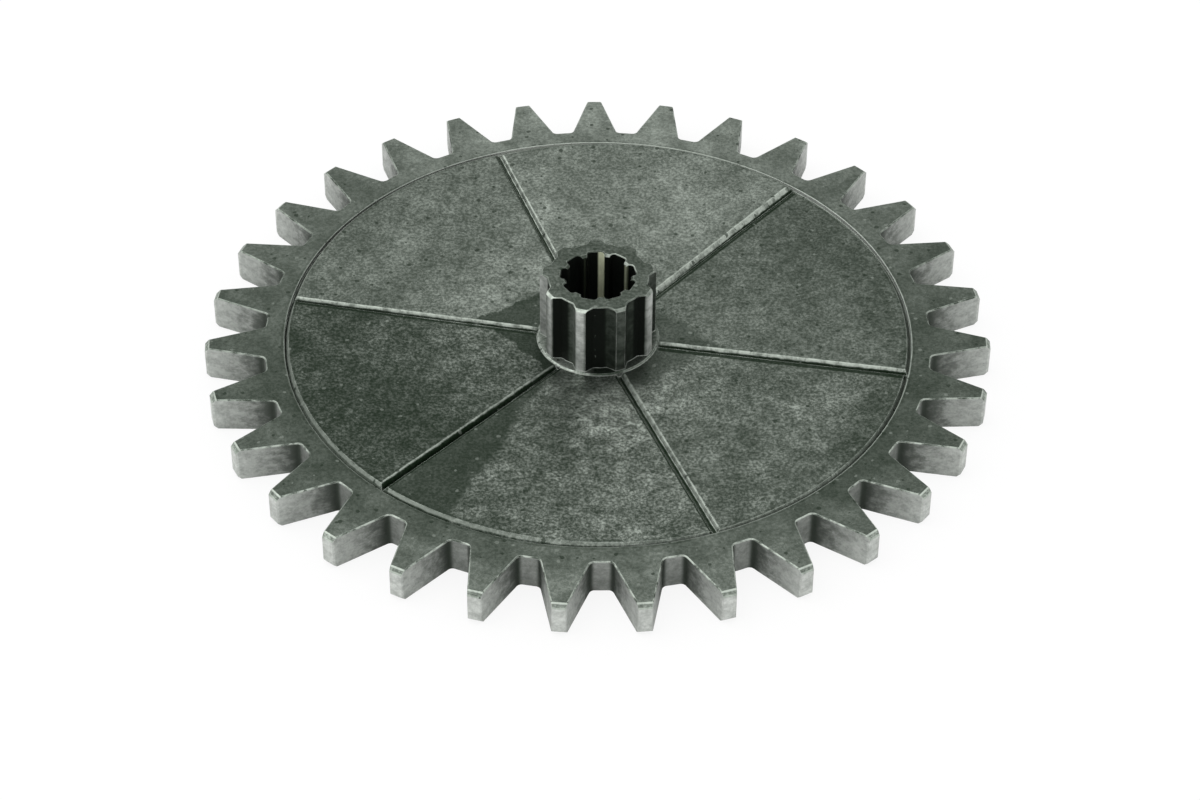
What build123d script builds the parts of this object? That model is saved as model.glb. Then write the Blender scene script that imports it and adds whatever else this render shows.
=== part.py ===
from build123d import *
from math import asin, cos, degrees, pi, radians, sin, sqrt
import os

# Lengths are in millimetres and angles in degrees

# Disc and its outer teeth
tooth_count = 31
first_tooth_angle = 90
tip_radius = 41.25
tooth_depth = 6.25
tip_land = 1.35
root_gap = 2.11
root_fillet = 0.6
thickness = 4.0
tip_chamfer = 0.5
edge_break = 0.12

# Web: pads between narrow grooves with sloped walls, dished towards the hub
groove_angles = [48.2, 109.4, 170.8, 228.5, 290.2, 347.6]
rim_width = 2.05
ring_gap = 0.45
groove_width = 0.86
groove_depth = 0.45
groove_slope = 35
web_dish = 0.85

# Height of each pad above the rim face at its two outer corners, clockwise corner first
pad_rise = [(0.28, -0.12), (0.06, 0.0), (0.1, 0.4), (0.32, -0.1), (-0.12, 0.0), (0.05, -0.24)]

# Hub with its outer splines, on a low round boss
boss_step = 0.3
boss_height = 0.17
hub_height = 7.45
spline_count = 9
first_spline_angle = 12
spline_tip_radius = 6.1
spline_depth = 0.8
spline_land = 1.0
spline_gap = 1.45
spline_fillet = 0.25
hub_chamfer = 0.27
hub_break = 0.1

# Splined bore through the whole part
first_flute_angle = 14
bore_radius = 3.4
flute_depth = 0.52
flute_mouth = 1.85
flute_floor = 1.6
flute_fillet = 0.35
bore_lead = 0.25

# Values that follow from the sizes above
root_radius = tip_radius - tooth_depth
ring_radius = root_radius - rim_width
pad_radius = ring_radius - ring_gap
spline_root_radius = spline_tip_radius - spline_depth
boss_radius = spline_tip_radius + boss_step
hub_level = thickness - web_dish
hub_floor = hub_level - groove_depth
boss_top = hub_level + boss_height
hub_top = thickness + hub_height


def tooth_profile(count, tip, root, land, gap):
    """A straight-flanked tooth along +X whose flanks cross the root circle half a gap from the next tooth."""
    corner_x = sqrt(tip**2 - (land / 2) ** 2)
    foot_angle = pi / count - asin(gap / 2 / root)
    slope = (root * sin(foot_angle) - land / 2) / (corner_x - root * cos(foot_angle))
    base_x = root - (tip - root) / 2
    base_y = land / 2 + (corner_x - base_x) * slope
    with BuildSketch() as profile:
        with BuildLine():
            Line((base_x, -base_y), (corner_x, -land / 2))
            ThreePointArc((corner_x, -land / 2), (tip, 0), (corner_x, land / 2))
            Line((corner_x, land / 2), (base_x, base_y))
            Line((base_x, base_y), (base_x, -base_y))
        make_face()
    return profile.sketch


def flute_profile():
    """One flute of the bore, along +X, whose straight sides cross the bore circle at its mouth."""
    mouth_x = sqrt(bore_radius**2 - (flute_mouth / 2) ** 2)
    floor_x = bore_radius + flute_depth
    slope = (flute_mouth - flute_floor) / 2 / (floor_x - mouth_x)
    base_x = bore_radius - flute_depth
    base_y = flute_mouth / 2 + (mouth_x - base_x) * slope
    with BuildSketch() as profile:
        with BuildLine():
            Polyline(
                (base_x, -base_y),
                (floor_x, -flute_floor / 2),
                (floor_x, flute_floor / 2),
                (base_x, base_y),
                close=True,
            )
        make_face()
        fillet(profile.vertices().group_by(Axis.X)[-1], flute_fillet)
    return profile.sketch


def web_pad(start_angle, end_angle, start_rise, end_rise):
    """One pad between two grooves: a sector on its own tilted plane, grown wider below it."""
    half_angle = radians(end_angle - start_angle) / 2
    middle = radians(start_angle + end_angle) / 2
    corner_angle = half_angle - asin(groove_width / 2 / pad_radius)
    corner_x = pad_radius * cos(corner_angle)
    corner_y = pad_radius * sin(corner_angle)
    apex_x = groove_width / 2 / sin(half_angle)

    # The plane passes through the two outer corners and the middle of the pad's inner end
    outer_level = thickness + (start_rise + end_rise) / 2
    climb = (outer_level - hub_level) / (corner_x - boss_radius)
    lean = (end_rise - start_rise) / 2 / corner_y
    normal = Vector(-climb, -lean, 1).rotate(Axis.Z, degrees(middle))
    along = Vector(1, 0, climb).rotate(Axis.Z, degrees(middle))
    top = Plane(origin=(0, 0, hub_level - climb * boss_radius), x_dir=along, z_dir=normal)
    with BuildPart() as pad:
        with BuildSketch(top):
            with BuildLine():
                Line((apex_x, 0), (corner_x, -corner_y))
                ThreePointArc((corner_x, -corner_y), (pad_radius, 0), (corner_x, corner_y))
                Line((corner_x, corner_y), (apex_x, 0))
            make_face()
        extrude(amount=-2 * groove_depth, taper=-groove_slope)
    return pad.part


disc_tooth = tooth_profile(tooth_count, tip_radius, root_radius, tip_land, root_gap)
hub_tooth = tooth_profile(spline_count, spline_tip_radius, spline_root_radius, spline_land, spline_gap)
flute = flute_profile()
pads = []
pad_ends = groove_angles[1:] + [groove_angles[0] + 360]
for start_angle, end_angle, (start_rise, end_rise) in zip(groove_angles, pad_ends, pad_rise):
    pads.append(web_pad(start_angle, end_angle, start_rise, end_rise))

with BuildPart() as gear_wheel:
    # Toothed disc with a softened outline on both faces
    with BuildSketch() as outline:
        Circle(root_radius)
        with PolarLocations(0, tooth_count, start_angle=first_tooth_angle):
            add(disc_tooth)
        roots = outline.vertices().filter_by(lambda v: abs(Vector(v).length - root_radius) < edge_break)
        fillet(roots, root_fillet)
    extrude(amount=thickness)
    chamfer(gear_wheel.faces().filter_by(Axis.Z).edges(), edge_break)

    # Turned chamfers on the tooth tips
    with BuildSketch(Plane.XZ) as tip_cuts:
        for face_height, inward in ((thickness, -1), (0, 1)):
            with BuildLine():
                Polyline(
                    (tip_radius - tip_chamfer, face_height),
                    (tip_radius + tip_chamfer, face_height),
                    (tip_radius + tip_chamfer, face_height + 2 * inward * tip_chamfer),
                    close=True,
                )
            make_face()
    revolve(axis=Axis.Z, mode=Mode.SUBTRACT)

    # Shallow conical recess inside the rim, and the pads that stand in it
    with BuildSketch(Plane.XZ):
        with BuildLine():
            Polyline(
                (0, thickness),
                (ring_radius, thickness),
                (ring_radius, thickness - groove_depth),
                (boss_radius, hub_floor),
                (0, hub_floor),
                close=True,
            )
        make_face()
    revolve(axis=Axis.Z, mode=Mode.SUBTRACT)
    add(pads)

    # Turned boss with a broken edge, and the splined hub on it
    with BuildSketch(Plane.XZ):
        with BuildLine():
            Polyline(
                (0, hub_floor),
                (boss_radius, hub_floor),
                (boss_radius, boss_top - edge_break),
                (boss_radius - edge_break, boss_top),
                (0, boss_top),
                close=True,
            )
        make_face()
    revolve(axis=Axis.Z)
    with BuildSketch(Plane.XY.offset(boss_top)) as hub_outline:
        Circle(spline_root_radius)
        with PolarLocations(0, spline_count, start_angle=first_spline_angle):
            add(hub_tooth)
        feet = hub_outline.vertices().filter_by(lambda v: abs(Vector(v).length - spline_root_radius) < edge_break)
        fillet(feet, spline_fillet)
    extrude(amount=hub_top - boss_top)
    chamfer(gear_wheel.faces().sort_by(Axis.Z)[-1].edges(), hub_break)
    with BuildSketch(Plane.XZ):
        with BuildLine():
            Polyline(
                (spline_tip_radius - hub_chamfer, hub_top),
                (spline_tip_radius + hub_chamfer, hub_top),
                (spline_tip_radius + hub_chamfer, hub_top - 2 * hub_chamfer),
                close=True,
            )
        make_face()
    revolve(axis=Axis.Z, mode=Mode.SUBTRACT)

    # Splined bore, with a turned lead-in on its lands
    with BuildSketch():
        Circle(bore_radius)
        with PolarLocations(0, spline_count, start_angle=first_flute_angle):
            add(flute)
    extrude(amount=hub_top, mode=Mode.SUBTRACT)
    mouth = gear_wheel.faces().sort_by(Axis.Z)[-1].inner_wires()[0]
    chamfer(mouth.edges(), hub_break)
    with BuildSketch(Plane.XZ):
        with BuildLine():
            Polyline(
                (0, hub_top),
                (bore_radius + bore_lead, hub_top),
                (bore_radius - bore_lead, hub_top - 2 * bore_lead),
                (0, hub_top - 2 * bore_lead),
                close=True,
            )
        make_face()
    revolve(axis=Axis.Z, mode=Mode.SUBTRACT)

gear_wheel.part.label = "gear_wheel"
os.makedirs("parts", exist_ok=True)
export_step(gear_wheel.part, "parts/gear_wheel.step")
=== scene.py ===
"""Sintered steel gear wheel on a white table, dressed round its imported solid."""

import math
from types import SimpleNamespace

import bpy
from bpy.props import FloatProperty, FloatVectorProperty, IntProperty, PointerProperty
from mathutils import Matrix, Vector

bl_info = {
    "name": "Gear Wheel Finish",
    "version": (1, 0, 0),
    "blender": (4, 5, 0),
    "location": "View3D > Sidebar > Gear Wheel",
    "description": "Dresses a sintered steel gear wheel and sets its studio",
    "category": "Object",
}

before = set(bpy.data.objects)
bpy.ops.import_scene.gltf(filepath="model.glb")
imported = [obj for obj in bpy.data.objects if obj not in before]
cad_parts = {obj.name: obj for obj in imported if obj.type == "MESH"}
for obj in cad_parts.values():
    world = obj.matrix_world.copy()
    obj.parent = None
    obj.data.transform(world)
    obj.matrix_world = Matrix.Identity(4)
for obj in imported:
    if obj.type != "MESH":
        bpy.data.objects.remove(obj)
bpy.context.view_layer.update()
WHEEL = "gear_wheel"
MILLIMETRES = 1000.0
FRAME_WIDTH_PX = 1200
SENSOR_WIDTH = 36.0

# Places on the wheel, in millimetres and degrees, as the part's source has them
TOOTH_PITCH = 360 / 31
FIRST_TOOTH = 90.0
TIP_RADIUS = 41.25
ROOT_RADIUS = 35.0
RING_RADIUS = 32.95
PAD_RADIUS = 32.5
BOSS_RADIUS = 6.4
BOSS_TOP = 3.32
SPLINE_ROOT_RADIUS = 5.3
BORE_RADIUS = 3.4
HUB_TOP = 11.45

# Heights between which a finish starts above the web's underside and ends above its top
ABOVE_BACK = (2.0, 2.4)
BELOW_HUB = (5.0, 4.6)

# Angles that face the camera, and how softly they end
FRONT = (195.0, 345.0, 25.0)

# Studio, in metres and watts
KEY_PLACE = (-0.35, 0.05, 0.5)
KEY_SIZE = (0.6, 0.6)
KEY_POWER = 1.0
TABLE_HALF = 1.2
TABLE_GLOW = 0.87
CLIP_START = 0.01

# Colour: share of the tone that reaches it, tints by zone (the bore's is the tint of its painted glint), and the
# painted shade that dark hub walls turn to
TONE_SHARE = 0.74
FACE_TINT = (0.945, 1.0, 0.945, 1)
BORE_GLINT_TINT = (0.88, 0.9, 0.68, 1)
HUB_SHADE = (0.004, 0.0055, 0.004, 1)


class Weaver:
    """Adds nodes to one tree, sets their values and links them."""

    def __init__(self, tree):
        self.tree = tree
        tree.nodes.clear()

    def feed(self, socket, value):
        """Links a socket to another, or gives it a plain value."""
        if isinstance(value, bpy.types.NodeSocket):
            self.tree.links.new(value, socket)
        else:
            socket.default_value = value

    def add(self, kind, feeds=None, **settings):
        """Adds one node; feeds maps an input's name, identifier or index to a socket or a value."""
        node = self.tree.nodes.new(kind)
        for name, value in settings.items():
            setattr(node, name, value)
        for key, value in (feeds or {}).items():
            if isinstance(key, int):
                socket = node.inputs[key]
            else:
                socket = next(s for s in node.inputs if key in (s.identifier, s.name) and s.enabled)
            self.feed(socket, value)
        return node

    def math(self, operation, first, second=0.0):
        return self.add("ShaderNodeMath", {0: first, 1: second}, operation=operation).outputs[0]

    def vector_math(self, operation, first, second):
        return self.add("ShaderNodeVectorMath", {0: first, 1: second}, operation=operation).outputs[0]

    def plus(self, first, *others):
        for other in others:
            first = self.math("ADD", first, other)
        return first

    def times(self, first, *others):
        for other in others:
            first = self.math("MULTIPLY", first, other)
        return first

    def most(self, first, *others):
        for other in others:
            first = self.math("MAXIMUM", first, other)
        return first

    def minus(self, first, second):
        return self.math("SUBTRACT", first, second)

    def rest(self, value):
        """One less the value."""
        return self.minus(1.0, value)

    def ease(self, value, start, end, low=0.0, high=1.0):
        """Goes smoothly from low at start to high at end."""
        feeds = {0: value, 1: start, 2: end, 3: low, 4: high}
        return self.add("ShaderNodeMapRange", feeds, interpolation_type="SMOOTHSTEP").outputs[0]

    def band(self, value, start, end, soft):
        """1 between start and end, with soft edges."""
        return self.times(self.ease(value, start - soft, start + soft), self.ease(value, end + soft, end - soft))

    def blend(self, factor, first, second):
        """Goes from the first number to the second."""
        return self.add("ShaderNodeMix", {0: factor, 2: first, 3: second}, data_type="FLOAT").outputs[0]

    def noise(self, place, size, detail=3.0, rough=0.5, distortion=0.0):
        """Noise with blotches of about the given size in the units of place."""
        feeds = {
            "Vector": place, "Scale": 1.0 / size, "Detail": detail, "Roughness": rough, "Distortion": distortion,
        }
        return self.add("ShaderNodeTexNoise", feeds).outputs["Fac"]

    def spots(self, place, per_unit, largest):
        """Sparse round spots of random size on a flat face."""
        cells = self.add(
            "ShaderNodeTexVoronoi", {"Vector": place, "Scale": per_unit}, voronoi_dimensions="2D"
        ).outputs
        chance = self.add("ShaderNodeSeparateColor", {0: cells["Color"]}).outputs[0]
        size = self.times(chance, chance, largest)
        return self.ease(self.minus(cells["Distance"], size), 0.0, -0.02)

    def stretch(self, place, factors):
        return self.vector_math("MULTIPLY", place, factors)

    def turned(self, place, angle, centre=None):
        """Place as seen from a centre, turned about Z."""
        if centre is not None:
            place = self.vector_math("SUBTRACT", place, centre)
        return self.add("ShaderNodeVectorRotate", {"Vector": place, "Angle": angle}, rotation_type="Z_AXIS").outputs[0]

    def split(self, vector):
        return self.add("ShaderNodeSeparateXYZ", {0: vector}).outputs

    def tint(self, factor, first, second, blend="MIX"):
        """Mixes two colours."""
        node = self.add("ShaderNodeMix", data_type="RGBA", blend_type=blend, clamp_factor=True)
        for identifier, value in (("Factor_Float", factor), ("A_Color", first), ("B_Color", second)):
            socket = next(s for s in node.inputs if s.identifier == identifier)
            self.feed(socket, value)
        return next(s for s in node.outputs if s.identifier == "Result_Color")

    def ramp(self, value, stops, interpolation="LINEAR"):
        """Colour ramp; each stop is a position and either one tone or three."""
        node = self.add("ShaderNodeValToRGB", {0: value})
        node.color_ramp.interpolation = interpolation
        elements = node.color_ramp.elements
        while len(elements) > 1:
            elements.remove(elements[-1])
        for index, (position, *tones) in enumerate(stops):
            element = elements[0] if index == 0 else elements.new(position)
            element.position = position
            element.color = (*(tones * 3)[:3], 1.0)
        return self.add("ShaderNodeSeparateColor", {0: node.outputs[0]}).outputs

    def group(self, tree, feeds):
        return self.add("ShaderNodeGroup", feeds, node_tree=tree)


def new_group(name, inputs, outputs):
    """Starts a shader node group with named sockets; returns its tree, weaver, input and output nodes."""
    tree = bpy.data.node_groups.new(name, "ShaderNodeTree")
    for direction, sockets in (("INPUT", inputs), ("OUTPUT", outputs)):
        for socket_name, kind, default in sockets:
            socket = tree.interface.new_socket(socket_name, in_out=direction, socket_type="NodeSocket" + kind)
            if default is not None:
                socket.default_value = default
    weaver = Weaver(tree)
    return tree, weaver, weaver.add("NodeGroupInput"), weaver.add("NodeGroupOutput")


def round_place_group():
    """Turns a place in millimetres into a radius, an angle in degrees and a height."""
    tree, w, given, out = new_group(
        "round_place",
        [("Place", "Vector", None)],
        [("Radius", "Float", None), ("Angle", "Float", None), ("Height", "Float", None)],
    )
    x, y, z = w.split(given.outputs["Place"])
    radius = w.math("SQRT", w.plus(w.times(x, x), w.times(y, y)))
    angle = w.times(w.math("ARCTAN2", y, x), math.degrees(1))
    w.feed(out.inputs["Radius"], radius)
    w.feed(out.inputs["Angle"], w.math("FLOORED_MODULO", angle, 360.0))
    w.feed(out.inputs["Height"], z)
    return tree


def grain_group():
    """Pressed and sintered skin: clouds, mottling, streaks, grain, dark pits, bright specks and their relief."""
    tree, w, given, out = new_group(
        "sintered_grain",
        [("Place", "Vector", None)],
        [
            ("Clouds", "Float", None),
            ("Mottle", "Float", None),
            ("Grain", "Float", None),
            ("Pits", "Float", None),
            ("Specks", "Float", None),
            ("Relief", "Float", None),
        ],
    )
    place = given.outputs["Place"]
    clouds = w.noise(place, 8.0, detail=4.0, rough=0.6, distortion=0.5)
    mottle = w.noise(place, 1.6, detail=3.0, rough=0.6, distortion=0.3)
    streaks = w.noise(w.stretch(place, (0.55, 1.5, 1.0)), 0.7, detail=2.0, rough=0.6)
    mottle = w.plus(w.times(mottle, 0.78), w.times(streaks, 0.22))
    grain = w.noise(place, 0.32, detail=3.0, rough=0.75)

    # Round cells bent by a noise, so that pits and specks aren't round
    bend = w.add("ShaderNodeTexNoise", {"Vector": place, "Scale": 3.0, "Detail": 2.0}).outputs["Color"]
    bent = w.vector_math("ADD", w.stretch(bend, (0.35, 0.25, 0.0)), place)
    pits = w.spots(bent, 0.55, 0.15)
    specks = w.spots(w.stretch(bent, (1.0, -1.0, 1.0)), 0.5, 0.12)
    relief = w.plus(w.times(grain, 0.7), w.times(mottle, 0.6), w.times(pits, -1.2))
    outputs = {"Clouds": clouds, "Mottle": mottle, "Grain": grain, "Pits": pits, "Specks": specks, "Relief": relief}
    for name, value in outputs.items():
        w.feed(out.inputs[name], value)
    return tree


def edge_wear_and_highlight_group():
    """Thin rubbed edges and painted highlight where the surface turns over an edge."""
    tree, w, given, out = new_group(
        "edge_wear_and_highlight",
        [("Width", "Float", 0.0001), ("Patchiness", "Float", 0.5), ("Place", "Vector", None)],
        [("Wear And Highlight", "Float", None), ("Normal", "Vector", None)],
    )
    rounded = w.add("ShaderNodeBevel", {"Radius": given.outputs["Width"]}, samples=6).outputs[0]
    true_normal = w.add("ShaderNodeNewGeometry").outputs["True Normal"]
    dot = w.add("ShaderNodeVectorMath", {0: rounded, 1: true_normal}, operation="DOT_PRODUCT").outputs["Value"]
    edge = w.ease(dot, 0.985, 0.86)
    patches = w.ease(w.noise(given.outputs["Place"], 1.3, detail=2.0), 0.35, 0.62)
    kept = w.rest(w.times(given.outputs["Patchiness"], w.rest(patches)))
    w.feed(out.inputs["Wear And Highlight"], w.times(edge, kept))
    w.feed(out.inputs["Normal"], rounded)
    return tree


def patch_group():
    """A soft or sharp oval patch with a ragged outline."""
    tree, w, given, out = new_group(
        "oval_patch",
        [
            ("Place", "Vector", None),
            ("Ragged", "Float", None),
            ("Centre", "Vector", None),
            ("Half Size", "Vector", (4.0, 3.0, 1.0)),
            ("Turn", "Float", 0.0),
            ("Raggedness", "Float", 0.35),
            ("Softness", "Float", 0.03),
        ],
        [("Patch", "Float", None)],
    )
    turned = w.turned(given.outputs["Place"], given.outputs["Turn"], given.outputs["Centre"])
    share = w.vector_math("DIVIDE", w.stretch(turned, (1.0, 1.0, 0.0)), given.outputs["Half Size"])
    reach = w.add("ShaderNodeVectorMath", {0: share}, operation="LENGTH").outputs["Value"]
    ragged = w.times(w.minus(given.outputs["Ragged"], 0.5), given.outputs["Raggedness"])
    soft = given.outputs["Softness"]
    w.feed(out.inputs["Patch"], w.ease(w.plus(reach, ragged), w.plus(soft, 1.0), w.rest(soft)))
    return tree


def wedge_group():
    """A stain whose two ragged edges spread from a corner."""
    tree, w, given, out = new_group(
        "wedge_stain",
        [
            ("Place", "Vector", None),
            ("Ragged", "Float", None),
            ("Corner", "Vector", None),
            ("Turn", "Float", 0.0),
            ("Spread", "Float", 0.7),
            ("Length", "Float", 8.0),
            ("Softness", "Float", 0.15),
        ],
        [("Stain", "Float", None)],
    )
    along, across, _ = w.split(w.turned(given.outputs["Place"], given.outputs["Turn"], given.outputs["Corner"]))
    spread = given.outputs["Spread"]
    reach = w.times(along, w.math("SINE", spread))
    inside = w.minus(reach, w.times(w.math("ABSOLUTE", across), w.math("COSINE", spread)))
    inside = w.plus(inside, w.times(w.minus(given.outputs["Ragged"], 0.5), 3.2))
    soft = given.outputs["Softness"]
    stain = w.ease(inside, w.times(soft, -1.0), soft)
    length = given.outputs["Length"]
    w.feed(out.inputs["Stain"], w.times(stain, w.ease(along, w.plus(length, 1.5), length)))
    return tree


def groove_group():
    """The two sides of one radial groove: a painted highlight on the wall that faces the light, and painted shade with
    some grime over the floor and the far wall.
    """
    tree, w, given, out = new_group(
        "groove_sides",
        [
            ("Place", "Vector", None),
            ("Wander", "Float", None),
            ("Turn", "Float", 0.0),
            ("Side", "Float", 1.0),
            ("Lit Wall From", "Float", 0.2),
            ("Shade And Grime From", "Float", -0.45),
        ],
        [("Lit Wall", "Float", None), ("Shade And Grime", "Float", None)],
    )
    along, across, _ = w.split(w.turned(given.outputs["Place"], given.outputs["Turn"]))
    wander = w.times(w.minus(given.outputs["Wander"], 0.5), 0.16)
    across = w.plus(w.times(across, given.outputs["Side"]), wander)
    there = w.times(w.ease(along, BOSS_RADIUS, BOSS_RADIUS + 0.4), w.ease(along, RING_RADIUS, PAD_RADIUS))
    start, end = given.outputs["Lit Wall From"], given.outputs["Shade And Grime From"]
    # Painted highlight on the wall that faces the light; painted shade with some grime from the far wall over the
    # floor
    painted_highlight = w.times(w.ease(across, w.plus(start, -0.04), w.plus(start, 0.04)), w.ease(across, 0.6, 0.5))
    shade_and_grime = w.times(w.ease(across, w.plus(end, -0.08), w.plus(end, 0.04)), w.ease(across, start, w.plus(start, -0.08)))
    w.feed(out.inputs["Lit Wall"], w.times(painted_highlight, there))
    w.feed(out.inputs["Shade And Grime"], w.times(shade_and_grime, there))
    return tree


class SteelSettings(bpy.types.PropertyGroup):
    """Colours and finish of the sintered steel."""

    dark: FloatVectorProperty(
        name="Dark", description="Darkest tone of the skin", subtype="COLOR", size=3, min=0, max=1,
        default=(0.009, 0.0195, 0.009),
    )
    light: FloatVectorProperty(
        name="Light", description="Tone of clean bare steel", subtype="COLOR", size=3, min=0, max=1,
        default=(0.84, 0.87, 0.83),
    )
    # Width and brightness of the edge mask: partly rubbed edges, partly painted highlight
    wear_and_highlight_width: FloatProperty(
        name="Wear Width", description="Width of the wear on each edge", subtype="DISTANCE", unit="LENGTH",
        min=0, max=0.001, default=0.00015,
    )
    wear_and_highlight: FloatProperty(name="Wear And Highlight", description="Brightness of worn edges", min=0, max=1, default=0.85)


class StageSettings(bpy.types.PropertyGroup):
    """Camera, table and lamps."""

    elevation: FloatProperty(
        name="Elevation", description="Camera's angle above the table", subtype="ANGLE",
        default=math.radians(41.25),
    )
    azimuth: FloatProperty(
        name="Azimuth", description="Camera's turn round the wheel", subtype="ANGLE",
        default=math.radians(0.9),
    )
    roll: FloatProperty(
        name="Roll", description="Camera's tilt about its own axis", subtype="ANGLE", default=math.radians(0.43),
    )
    distance: FloatProperty(
        name="Distance", description="Camera's distance from its target", subtype="DISTANCE", unit="LENGTH",
        default=0.330,
    )
    target: FloatVectorProperty(
        name="Target", description="Point that the camera looks at", subtype="XYZ", unit="LENGTH", size=3,
        default=(0.000095, -0.011154, 0.004),
    )
    focal_px: IntProperty(
        name="Focal Length", description="Focal length in pixels of a frame 1200 wide", default=3214,
    )
    table: FloatVectorProperty(
        name="Table", description="Colour of the table", subtype="COLOR", size=3, min=0, max=1,
        default=(0.93, 0.93, 0.93),
    )
    world_level: FloatProperty(
        name="Room Light", description="Strength of the room's even light", min=0, default=1.0,
    )


def new_material(name):
    material = bpy.data.materials.new(name)
    material.use_nodes = True
    return material, Weaver(material.node_tree)


# Each pad of the web: the angle where it starts, its tone near the hub and near the rim (painted sheen of how each pad
# catches the light, over its own tone), and its contrast
PADS = (
    (0.0, 0.18, 0.15, 0.45),
    (48.2, 0.24, 0.26, 0.38),
    (109.4, 0.27, 0.20, 0.42),
    (170.8, 0.155, 0.07, 0.72),
    (228.5, 0.20, 0.17, 0.65),
    (290.2, 0.18, 0.16, 0.55),
    (347.6, 0.18, 0.15, 0.45),
)

# Each groove of the web: angle, side whose wall gets the painted highlight, where that highlight starts, how bright,
# where the painted shade and grime start, how dark
GROOVES = (
    (48.2, 1, 0.12, 0.8, -0.75, 0.95),
    (109.4, -1, 0.15, 0.9, -0.5, 1.0),
    (170.8, -1, 0.28, 0.9, -0.8, 0.9),
    (228.5, -1, 0.36, 0.55, -0.6, 0.95),
    (290.2, 1, 0.16, 0.7, -0.6, 1.0),
    (347.6, 1, 0.27, 0.85, -0.95, 0.97),
)

# Line round the web: angle, painted highlight on the pads' edge, painted highlight on the rim's edge, painted shade on
# the floor between them
RING_STOPS = (
    (0, 0.0, 0.6, 0.5), (48, 0.0, 0.85, 0.6), (50, 0.0, 0.6, 0.1), (75, 0.0, 0.85, 0.1), (107, 0.0, 0.95, 0.2),
    (111, 0.2, 0.5, 0.3), (150, 0.3, 0.2, 0.6), (173, 0.4, 0.2, 0.75), (200, 0.3, 0.15, 0.7), (226, 0.4, 0.2, 0.65),
    (231, 0.5, 0.0, 0.3), (262, 0.25, 0.0, 0.6), (290, 0.1, 0.1, 0.75), (325, 0.15, 0.4, 0.65), (360, 0.0, 0.6, 0.5),
)

# Tone of the rim's face by angle: painted sheen, lightest on the far side
RIM_STOPS = (
    (0, 0.12), (45, 0.2), (75, 0.31), (105, 0.32), (135, 0.18), (165, 0.165), (195, 0.095), (225, 0.12), (255, 0.165),
    (285, 0.2), (315, 0.095), (345, 0.105), (360, 0.12),
)

# Oval patches of the web: centre, half size, turn in degrees, raggedness, softness, and how much lighter or darker
PATCHES = (
    ((-7.6, 6.2), (1.9, 0.8), 27, 1.6, 0.2, -0.35),
    ((-11.0, 2.1), (3.0, 0.5), -12, 1.2, 0.3, -0.35),
    ((10.6, -1.6), (2.6, 0.7), -14, 1.4, 0.3, -0.35),
    ((-2.2, -7.2), (0.7, 1.4), 0, 0.5, 0.3, 0.7),
    ((1.4, -12.6), (4.6, 4.8), 0, 1.6, 0.2, 0.75),
    ((-0.2, -14.0), (0.35, 0.5), 0, 1.5, 0.2, -0.7),
    ((7.4, -9.5), (1.8, 4.2), 15, 1.2, 0.3, 0.35),
    ((22.5, -12.0), (4.5, 1.6), 20, 1.6, 0.5, 0.30),
    ((27.5, -13.5), (2.2, 7.5), -25, 1.2, 0.6, -0.30),
    ((15.0, -7.5), (6.5, 2.4), 10, 1.6, 0.6, -0.16),
    ((17.0, 27.5), (5.5, 2.6), 25, 1.6, 0.6, -0.22),
    ((8.0, 19.0), (9.0, 6.0), 0, 1.6, 0.8, 0.12),
    ((-12.0, 14.0), (9.0, 6.0), 30, 1.6, 0.8, 0.12),
    ((-27.0, 15.0), (3.0, 9.0), 30, 1.4, 0.7, -0.18),
    ((-13.5, -5.0), (5.0, 3.0), 30, 1.6, 0.7, 0.16),
    ((-24.0, -16.5), (3.2, 2.4), 0, 1.6, 0.6, 0.22),
    ((28.0, 9.0), (2.5, 9.0), 15, 1.2, 0.7, -0.22),
)

# Stains of the web: corner, turn and spread in degrees, length, softness and darkness
STAINS = (
    ((-12.8, 2.9), -8, 40, 9.0, 0.1, 0.7),
    ((12.2, -1.4), 180, 42, 9.0, 0.35, 0.34),
    ((-5.4, -7.0), 237, 9.5, 27.0, 0.5, 0.64),
)

# Tone round the foot of the hub by angle: painted light, lighter on the left and front-left, darker at the front
SHELF_STOPS = (
    (0, 0.16), (90, 0.14), (180, 0.5), (235, 0.6), (258, 0.5), (266, 0.05), (288, 0.06), (296, 0.18), (330, 0.22),
    (360, 0.16),
)

# Tone round the outside of the hub: angle and tone, land by land and gap by gap; painted highlights on the lands that
# face the light, painted shade in the gaps
HUB_STOPS = (
    (0, 0.08), (20, 0.06), (90, 0.06), (160, 0.2), (166, 0.5), (184, 0.5), (187, 0.0), (205, 0.0), (207, 0.2),
    (213, 0.6), (216, 0.6), (218, 0.0), (231, 0.0), (236, 0.09), (246, 0.13), (248, 0.85), (255, 0.7), (257, 0.0),
    (275, 0.0), (279, 0.06), (286, 0.06), (288, 0.09), (296, 0.09), (299, 0.05), (312, 0.06), (315, 0.0), (325, 0.0),
    (327, 0.6), (336, 0.75), (338, 0.0), (350, 0.05), (360, 0.08),
)


def as_shares(stops):
    """Stops of a ramp, with each angle as a share of the full turn."""
    return [(angle / 360, *tones) for angle, *tones in stops]


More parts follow.
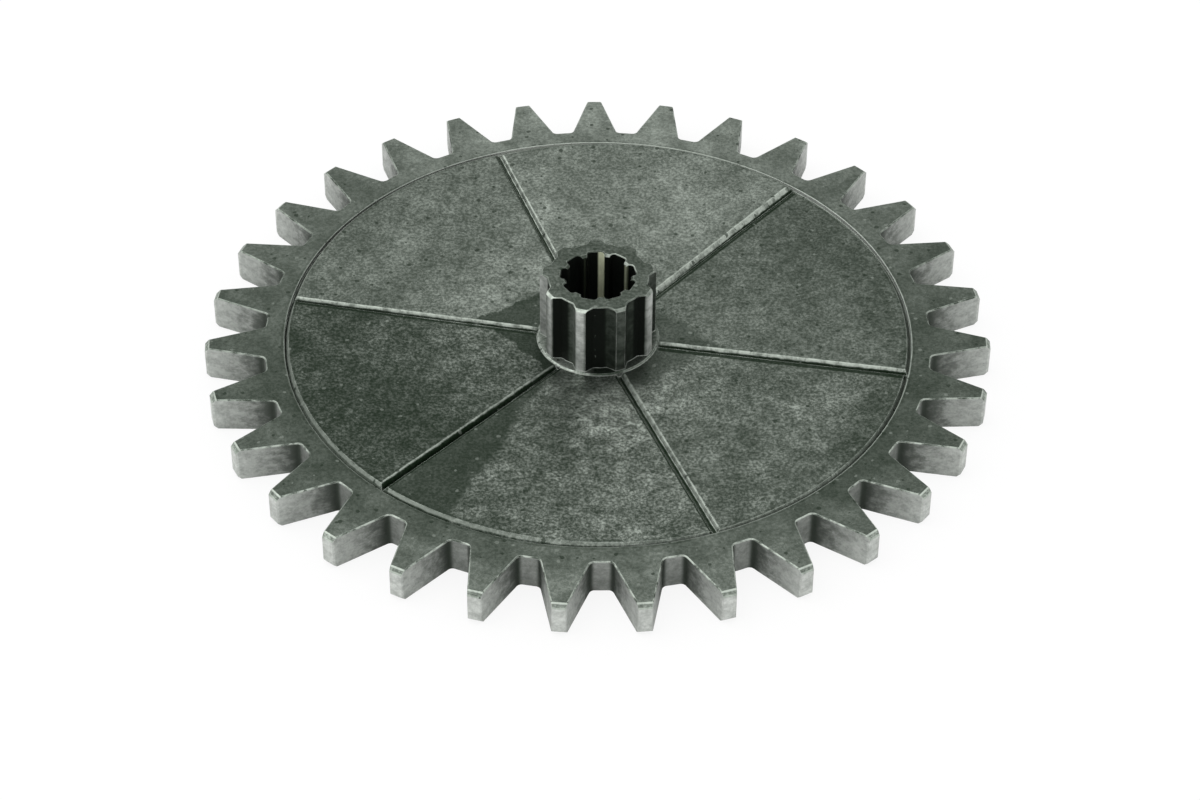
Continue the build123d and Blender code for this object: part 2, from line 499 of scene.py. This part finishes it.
def read_spot(w, groups):
    """Gathers what the finish has to know about the shaded point."""
    place = w.add(
        "ShaderNodeVectorMath",
        {0: w.add("ShaderNodeTexCoord").outputs["Object"], 3: MILLIMETRES},
        operation="SCALE",
    ).outputs[0]
    radius, angle, height = w.group(groups["place"], {"Place": place}).outputs
    normal = w.add("ShaderNodeNewGeometry").outputs["True Normal"]
    upward = w.math("ABSOLUTE", w.split(normal)[2])
    grain = w.group(groups["grain"], {"Place": place}).outputs

    # Clouds, mottling and grain as one value about 0; skin turns it into a factor about 1
    detail = w.plus(
        w.times(w.ease(grain["Clouds"], 0.3, 0.7, -1.0, 1.0), 0.5),
        w.times(w.ease(grain["Mottle"], 0.34, 0.66, -1.0, 1.0), 0.6),
        w.times(w.ease(grain["Grain"], 0.36, 0.64, -1.0, 1.0), 1.05),
    )
    return SimpleNamespace(
        place=place,
        radius=radius,
        angle=angle,
        share=w.times(angle, 1 / 360),
        height=height,
        upward=upward,
        wall=w.ease(upward, 0.45, 0.25),
        front=w.band(angle, *FRONT),
        grain=grain,
        detail=detail,
        skin=w.math("EXPONENT", w.times(detail, 0.35)),
        scratches=w.noise(w.stretch(place, (1.0, 1.0, 1.6)), 1.3, detail=4.0, rough=0.72),
    )


def rim_tone(w, spot):
    """Tone of the faces outside the ring: rim and tooth tops, with painted sheen by angle."""
    tone = w.times(w.ramp(spot.share, as_shares(RIM_STOPS))[0], w.math("POWER", spot.skin, 0.65))
    tone = w.times(tone, w.ease(w.noise(spot.place, 4.5, detail=2.0), 0.3, 0.7, 0.75, 1.25))
    # Tooth tops at the front painted lighter: painted sheen
    on_teeth = w.times(spot.front, w.ease(spot.radius, ROOT_RADIUS + 0.6, ROOT_RADIUS + 2.4))
    return w.times(tone, w.blend(on_teeth, 1.0, 1.4))


def web_tone(w, spot, groups):
    """Tone of the web: pads, patches, stains and mottling."""
    # Pad tones carry painted sheen, pad by pad
    near, far, contrast = list(w.ramp(spot.share, as_shares(PADS), "CONSTANT"))[:3]
    tone = w.blend(w.ease(spot.radius, 10.0, 21.0), near, far)
    ragged = w.noise(spot.place, 2.6, detail=4.0, rough=0.62)
    change = 0.0
    for centre, half, turn, raggedness, softness, amount in PATCHES:
        feeds = {
            "Place": spot.place, "Ragged": ragged, "Centre": (*centre, 0.0), "Half Size": (*half, 1.0),
            "Turn": math.radians(-turn), "Raggedness": raggedness, "Softness": softness,
        }
        patch = w.group(groups["patch"], feeds).outputs["Patch"]
        change = w.plus(w.times(patch, amount), change)
    tone = w.times(tone, w.plus(change, 1.0))
    stained = 0.0
    for corner, turn, spread, length, softness, darkness in STAINS:
        feeds = {
            "Place": spot.place, "Ragged": ragged, "Corner": (*corner, 0.0), "Turn": math.radians(-turn),
            "Spread": math.radians(spread), "Length": length, "Softness": softness,
        }
        stain = w.group(groups["wedge"], feeds).outputs["Stain"]
        tone = w.times(tone, w.rest(w.times(stain, darkness)))
        stained = w.most(stain, stained)
    detail = w.times(spot.detail, contrast, w.rest(w.times(stained, 0.45)))
    return w.times(tone, w.math("EXPONENT", detail))


def line_marks(w, spot, groups):
    """Painted highlights and painted shade, with some grime, of the radial grooves and of the line round the web."""
    wander = w.noise(spot.place, 1.1, detail=2.0)
    painted_highlight, shade_and_grime = 0.0, 0.0
    # Each groove adds a painted highlight on its lit wall and painted shade, with some grime, over the rest
    for groove_angle, side, highlight_from, brightness, shade_and_grime_from, darkness in GROOVES:
        feeds = {
            "Place": spot.place, "Wander": wander, "Turn": math.radians(-groove_angle), "Side": float(side),
            "Lit Wall From": highlight_from, "Shade And Grime From": shade_and_grime_from,
        }
        sides = w.group(groups["groove"], feeds)
        painted_highlight = w.most(w.times(sides.outputs["Lit Wall"], brightness), painted_highlight)
        shade_and_grime = w.most(w.times(sides.outputs["Shade And Grime"], darkness), shade_and_grime)
    broken = w.noise(w.stretch(spot.place, (1.0, 1.0, 0.3)), 0.9, detail=3.0, rough=0.75)
    painted_highlight = w.times(painted_highlight, w.ease(broken, 0.36, 0.6, 0.35, 1.15))
    shade_and_grime = w.times(shade_and_grime, w.ease(broken, 0.3, 0.55, 1.0, 0.94))

    # Line round the web: painted highlights on its two edges, painted shade on its floor, and thin dark bands on both
    # sides of it
    pad_highlight, rim_highlight, ring_shade = list(w.ramp(spot.share, as_shares(RING_STOPS)))[:3]
    shifted = w.plus(spot.radius, w.times(w.minus(wander, 0.5), 0.12))
    pad_edge = w.band(shifted, PAD_RADIUS - 0.02, PAD_RADIUS + 0.2, 0.05)
    rim_edge = w.band(shifted, RING_RADIUS - 0.26, RING_RADIUS + 0.08, 0.05)
    floor = w.band(shifted, PAD_RADIUS + 0.2, RING_RADIUS - 0.05, 0.06)
    inside = w.band(shifted, PAD_RADIUS - 0.35, PAD_RADIUS - 0.08, 0.06)
    outside = w.band(shifted, RING_RADIUS + 0.12, RING_RADIUS + 0.34, 0.06)
    painted_highlight = w.most(painted_highlight, w.times(pad_highlight, pad_edge), w.times(rim_highlight, rim_edge))
    beside = w.times(w.most(inside, outside), w.ease(broken, 0.3, 0.6, 0.5, 0.1))
    return painted_highlight, w.most(shade_and_grime, w.times(ring_shade, 0.75, floor), beside)


def tooth_wall_tone(w, spot):
    """Tone of the teeth's walls: lighter toward the tip, with painted shade and some grime at the foot of the flanks
    and in the corners of the roots.
    """
    radius, scratched = spot.radius, w.ease(spot.scratches, 0.3, 0.7)
    pitch_place = w.math("FRACT", w.plus(w.times(w.minus(spot.angle, FIRST_TOOTH), 1 / TOOTH_PITCH), 0.5))
    off_tooth = w.math("ABSOLUTE", w.minus(pitch_place, 0.5))
    off_gap = w.times(w.minus(0.5, off_tooth), TOOTH_PITCH, math.radians(1), radius)
    clean = w.plus(w.times(scratched, 0.22), w.times(w.ease(spot.grain["Grain"], 0.3, 0.7), 0.1), 0.38)
    # Painted shade with some grime toward the foot of each flank
    foot = w.ease(w.plus(radius, w.times(scratched, 1.8)), ROOT_RADIUS + 4.6, ROOT_RADIUS + 1.2)
    # Flanks lighter toward the tip and just below it: painted light
    flank = w.times(clean, w.ease(radius, ROOT_RADIUS + 3.0, TIP_RADIUS - 0.45, 0.95, 1.15))
    flank = w.times(w.blend(foot, flank, 0.17), w.ease(radius, TIP_RADIUS - 0.3, TIP_RADIUS - 0.15, 1.0, 1.25))
    # Root walls darker toward the corners of the gap: painted shade
    root = w.blend(w.ease(off_gap, 0.6, 1.1), w.times(clean, 0.85), 0.08)
    return w.blend(w.ease(radius, ROOT_RADIUS + 1.3, ROOT_RADIUS + 0.2), flank, root)


def hub_tone(w, spot):
    """Tone of the hub's top face, its outside walls and the shelf at its foot: painted highlights and painted shade by
    angle, and painted shade toward the walls' foot.
    """
    face = w.times(spot.skin, 0.13)
    shelf = w.times(w.ramp(spot.share, as_shares(SHELF_STOPS))[0], spot.skin)
    level = w.blend(w.ease(spot.height, BOSS_TOP + 0.68, BOSS_TOP + 0.28), face, shelf)
    walls = w.ramp(spot.share, as_shares(HUB_STOPS))[0]
    walls = w.times(walls, w.ease(spot.scratches, 0.3, 0.7, 0.65, 1.3))
    # Walls darker toward their foot: painted shade
    walls = w.times(walls, w.ease(spot.height, BOSS_TOP + 0.08, HUB_TOP - 0.95, 0.75, 1.15))
    walls = w.blend(w.ease(spot.height, BOSS_TOP + 0.02, BOSS_TOP - 0.02), walls, shelf)
    return w.blend(spot.wall, level, walls)


def bore_tone(w, spot):
    """Tone of the bore: painted highlights on three walls that catch the light; the rest painted near black, for shade
    and black oxide.
    """
    bright = w.times(w.band(spot.angle, 79.0, 89.5, 1.5), w.ease(spot.scratches, 0.3, 0.7, 1.15, 1.35))
    middling = w.times(w.band(spot.angle, 29.0, 36.0, 1.5), 0.4)
    faint = w.times(w.band(spot.angle, 112.0, 116.0, 1.5), 0.06)
    return w.plus(w.most(bright, middling, faint), 0.002)


def broken_edges(w, spot, tone, on_web):
    """Paints the sloped facets: teeth, hub top and bore mouth, with painted highlights on them."""
    radius, scratches = spot.radius, spot.scratches
    slope = w.band(spot.upward, 0.6, 0.8, 0.05)

    # Teeth: painted highlights at the two ends of the tip facet, and painted highlights broken up like rubbing along
    # the other edges, both brighter at the front
    inner_line = w.band(radius, TIP_RADIUS - 0.53, TIP_RADIUS - 0.37, 0.03)
    outer_line = w.band(radius, TIP_RADIUS - 0.13, TIP_RADIUS + 0.05, 0.03)
    tip_line = w.most(inner_line, w.times(outer_line, 0.6))
    tip_line = w.times(tip_line, w.ease(scratches, 0.3, 0.55, 0.35, 1.0), w.blend(spot.front, 0.45, 1.0))
    tip_facet = w.blend(tip_line, w.times(spot.skin, 0.4), 0.95)
    edge_line = w.times(w.ease(scratches, 0.36, 0.6, 0.12, 0.85), w.blend(spot.front, 0.6, 1.0))
    at_tip = w.ease(radius, TIP_RADIUS - 0.75, TIP_RADIUS - 0.6)
    on_teeth = w.times(slope, w.rest(on_web), w.ease(radius, ROOT_RADIUS - 0.6, ROOT_RADIUS - 0.4))
    tone = w.blend(on_teeth, tone, w.blend(at_tip, edge_line, tip_facet))

    # Hub: painted highlight on the outer edge of the top face, brightest on the left-front side, then a painted glint
    # on the bore's mouth at the back right
    at_edge = w.ease(radius, SPLINE_ROOT_RADIUS - 0.7, SPLINE_ROOT_RADIUS - 0.4)
    on_edge = w.times(slope, w.ease(spot.height, HUB_TOP - 0.55, HUB_TOP - 0.45), at_edge)
    lit = w.blend(w.band(spot.angle, 196.0, 264.0, 4.0), 0.24, 0.55)
    lit = w.times(lit, w.ease(radius, SPLINE_ROOT_RADIUS + 0.3, SPLINE_ROOT_RADIUS + 0.5, 1.0, 1.8))
    tone = w.blend(on_edge, tone, w.times(lit, w.ease(scratches, 0.35, 0.6, 0.6, 1.1)))
    at_mouth = w.ease(radius, SPLINE_ROOT_RADIUS - 0.7, SPLINE_ROOT_RADIUS - 0.9)
    on_mouth = w.times(slope, w.ease(spot.height, HUB_TOP - 0.75, HUB_TOP - 0.65), at_mouth)
    return w.blend(on_mouth, tone, w.blend(w.band(spot.angle, 8.0, 76.0, 4.0), 0.1, 0.55))


def build_steel(settings):
    """The one metal of the wheel, with its finish by zone."""
    material, w = new_material("sintered_steel")
    groups = {
        "place": round_place_group(), "grain": grain_group(), "wear_and_highlight": edge_wear_and_highlight_group(), "patch": patch_group(),
        "wedge": wedge_group(), "groove": groove_group(),
    }
    spot = read_spot(w, groups)
    above_back = w.ease(spot.height, *ABOVE_BACK)

    # Faces that look up or down: web inside the ring, rim and teeth outside it
    on_web = w.times(w.ease(spot.radius, RING_RADIUS, RING_RADIUS - 0.1), above_back)
    tone = w.blend(on_web, rim_tone(w, spot), web_tone(w, spot, groups))
    # Painted highlights, and painted shade with some grime, of the grooves and the ring line
    painted_highlight, shade_and_grime = line_marks(w, spot, groups)
    in_lines = w.times(above_back, w.ease(spot.height, *BELOW_HUB))
    tone = w.blend(w.times(painted_highlight, in_lines), tone, 0.85)
    tone = w.times(tone, w.rest(w.times(shade_and_grime, in_lines, 0.97)))

    # Walls of the teeth, the hub and the bore, with their painted shade and painted highlights
    outer_wall = w.times(spot.wall, w.ease(spot.radius, ROOT_RADIUS - 1.0, ROOT_RADIUS - 0.5))
    tone = w.blend(outer_wall, tone, tooth_wall_tone(w, spot))
    above_boss_foot = w.ease(spot.height, BOSS_TOP - 0.42, BOSS_TOP - 0.12)
    on_hub = w.times(w.ease(spot.radius, BOSS_RADIUS + 0.12, BOSS_RADIUS), above_boss_foot)
    tone = w.blend(on_hub, tone, hub_tone(w, spot))
    in_bore = w.times(w.ease(spot.radius, BORE_RADIUS + 0.8, BORE_RADIUS + 0.7), spot.wall)
    tone = w.blend(in_bore, tone, bore_tone(w, spot))

    # Broken edges with painted highlights, thin rubbed edges with painted highlight over every edge, then specks and
    # pits
    tone = broken_edges(w, spot, tone, on_web)
    # Every edge lightened: partly rubbed bare, partly painted highlight
    wear_and_highlight = w.group(groups["wear_and_highlight"], {"Width": settings.wear_and_highlight_width, "Place": spot.place, "Patchiness": 0.6}).outputs
    tone = w.blend(w.times(wear_and_highlight["Wear And Highlight"], 0.85, w.rest(in_bore)), tone, settings.wear_and_highlight)
    tone = w.blend(w.times(spot.grain["Specks"], 0.35), tone, 0.55)
    tone = w.blend(w.times(spot.grain["Pits"], 0.75, w.rest(spot.wall)), tone, 0.03)

    colour = w.tint(w.times(tone, TONE_SHARE), (*settings.dark, 1), (*settings.light, 1))
    colour = w.tint(w.rest(spot.wall), colour, FACE_TINT, "MULTIPLY")
    # Yellowish tint of the bore's painted glint
    colour = w.tint(in_bore, colour, BORE_GLINT_TINT, "MULTIPLY")
    # Painted shade: the darkest hub walls turn almost black
    colour = w.tint(w.times(on_hub, spot.wall, w.ease(tone, 0.12, 0.0)), colour, HUB_SHADE)

    # Walls are less metallic than faces, and those of the hub least
    wall_dulling = w.ease(spot.radius, 30.0, 8.0, 0.45, 0.9)
    relief = {"Strength": 0.5, "Distance": 0.00003, "Height": spot.grain["Relief"], "Normal": wear_and_highlight["Normal"]}
    finish = {
        "Base Color": colour,
        "Roughness": w.ease(spot.grain["Grain"], 0.3, 0.7, 0.60, 0.42),
        "Normal": w.add("ShaderNodeBump", relief).outputs[0],
        "Metallic": w.blend(w.times(spot.wall, wall_dulling), 1.0, 0.0),
        "Specular IOR Level": 0.15,
    }
    shader = w.add("ShaderNodeBsdfPrincipled", finish)
    w.add("ShaderNodeOutputMaterial", {"Surface": shader.outputs[0]})
    return material


class WHEEL_OT_dress(bpy.types.Operator):
    """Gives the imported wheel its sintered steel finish"""

    bl_idname = "gear_wheel.dress"
    bl_label = "Dress Wheel"

    def execute(self, context):
        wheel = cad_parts.get(WHEEL)
        if wheel is None:
            raise RuntimeError("the packed model has no gear wheel")
        steel = build_steel(context.scene.gear_steel)
        wheel.data.materials.clear()
        wheel.data.materials.append(steel)
        return {"FINISHED"}


def aim(obj, place, towards, roll=0.0):
    """Puts an object at a place with its -Z axis towards a point."""
    back = (place - towards).normalized()
    right = Vector((0, 0, 1)).cross(back).normalized()
    up = back.cross(right)
    turned = Matrix((right, up, back)).transposed() @ Matrix.Rotation(roll, 3, "Z")
    obj.matrix_world = Matrix.Translation(place) @ turned.to_4x4()


def add_camera(settings):
    camera = bpy.data.objects.new("camera", bpy.data.cameras.new("camera"))
    bpy.context.scene.collection.objects.link(camera)
    camera.data.sensor_width = SENSOR_WIDTH
    camera.data.lens = settings.focal_px / FRAME_WIDTH_PX * SENSOR_WIDTH
    camera.data.clip_start = CLIP_START
    target = Vector(settings.target)
    level = math.cos(settings.elevation)
    back = Vector(
        (-math.sin(settings.azimuth) * level, -math.cos(settings.azimuth) * level, math.sin(settings.elevation))
    )
    aim(camera, target + back * settings.distance, target, settings.roll)
    bpy.context.scene.camera = camera


def add_lamp(name, place, towards, size, power):
    lamp = bpy.data.objects.new(name, bpy.data.lights.new(name, "AREA"))
    bpy.context.scene.collection.objects.link(lamp)
    lamp.data.shape = "RECTANGLE"
    lamp.data.size, lamp.data.size_y = size
    lamp.data.energy = power
    aim(lamp, Vector(place), Vector(towards))


def add_table(settings):
    """Flat white table that turns the camera's own rays almost wholly white, but keeps the shadow."""
    corners = [(x * TABLE_HALF, y * TABLE_HALF, 0) for x, y in ((-1, -1), (1, -1), (1, 1), (-1, 1))]
    mesh = bpy.data.meshes.new("table")
    mesh.from_pydata(corners, [], [(0, 1, 2, 3)])
    table = bpy.data.objects.new("table", mesh)
    bpy.context.scene.collection.objects.link(table)
    material, w = new_material("white_table")
    paint = w.add("ShaderNodeBsdfDiffuse", {"Color": (*settings.table, 1)})
    glow = w.add("ShaderNodeEmission", {"Color": (1, 1, 1, 1), "Strength": 1.0})
    seen = w.add("ShaderNodeLightPath")
    factor = w.times(seen.outputs["Is Camera Ray"], TABLE_GLOW)
    mixed = w.add("ShaderNodeMixShader", {0: factor, 1: paint.outputs[0], 2: glow.outputs[0]})
    w.add("ShaderNodeOutputMaterial", {"Surface": mixed.outputs[0]})
    mesh.materials.append(material)


def set_world(settings):
    world = bpy.data.worlds.new("room")
    bpy.context.scene.world = world
    world.use_nodes = True
    w = Weaver(world.node_tree)
    path = w.add("ShaderNodeLightPath")
    seen = w.most(path.outputs["Is Camera Ray"], path.outputs["Is Glossy Ray"], path.outputs["Is Transmission Ray"])
    even = w.add("ShaderNodeBackground", {"Color": (1, 1, 1, 1), "Strength": settings.world_level})
    white = w.add("ShaderNodeBackground", {"Color": (1, 1, 1, 1), "Strength": 1.0})
    mixed = w.add("ShaderNodeMixShader", {0: seen, 1: even.outputs[0], 2: white.outputs[0]})
    w.add("ShaderNodeOutputWorld", {"Surface": mixed.outputs[0]})


class WHEEL_OT_stage(bpy.types.Operator):
    """Builds the white table, the lamps and the camera"""

    bl_idname = "gear_wheel.stage"
    bl_label = "Build Stage"

    def execute(self, context):
        settings = context.scene.gear_stage
        add_table(settings)
        set_world(settings)
        add_lamp("key", KEY_PLACE, (0, 0, 0), KEY_SIZE, KEY_POWER)
        add_camera(settings)
        context.scene.view_settings.view_transform = "Standard"
        return {"FINISHED"}


class WHEEL_PT_panel(bpy.types.Panel):
    """Lists the finish and the stage"""

    bl_idname = "WHEEL_PT_panel"
    bl_label = "Gear Wheel"
    bl_space_type = "VIEW_3D"
    bl_region_type = "UI"
    bl_category = "Gear Wheel"

    def draw(self, context):
        for settings, operator in (
            (context.scene.gear_steel, WHEEL_OT_dress),
            (context.scene.gear_stage, WHEEL_OT_stage),
        ):
            box = self.layout.box()
            for name in settings.__annotations__:
                box.prop(settings, name)
            box.operator(operator.bl_idname)


CLASSES = (SteelSettings, StageSettings, WHEEL_OT_dress, WHEEL_OT_stage, WHEEL_PT_panel)


def register():
    for each in CLASSES:
        bpy.utils.register_class(each)
    bpy.types.Scene.gear_steel = PointerProperty(type=SteelSettings)
    bpy.types.Scene.gear_stage = PointerProperty(type=StageSettings)


def unregister():
    del bpy.types.Scene.gear_stage
    del bpy.types.Scene.gear_steel
    for each in reversed(CLASSES):
        bpy.utils.unregister_class(each)


def main():
    register()
    bpy.ops.gear_wheel.dress()
    bpy.ops.gear_wheel.stage()


if __name__ == "__main__":
    main()
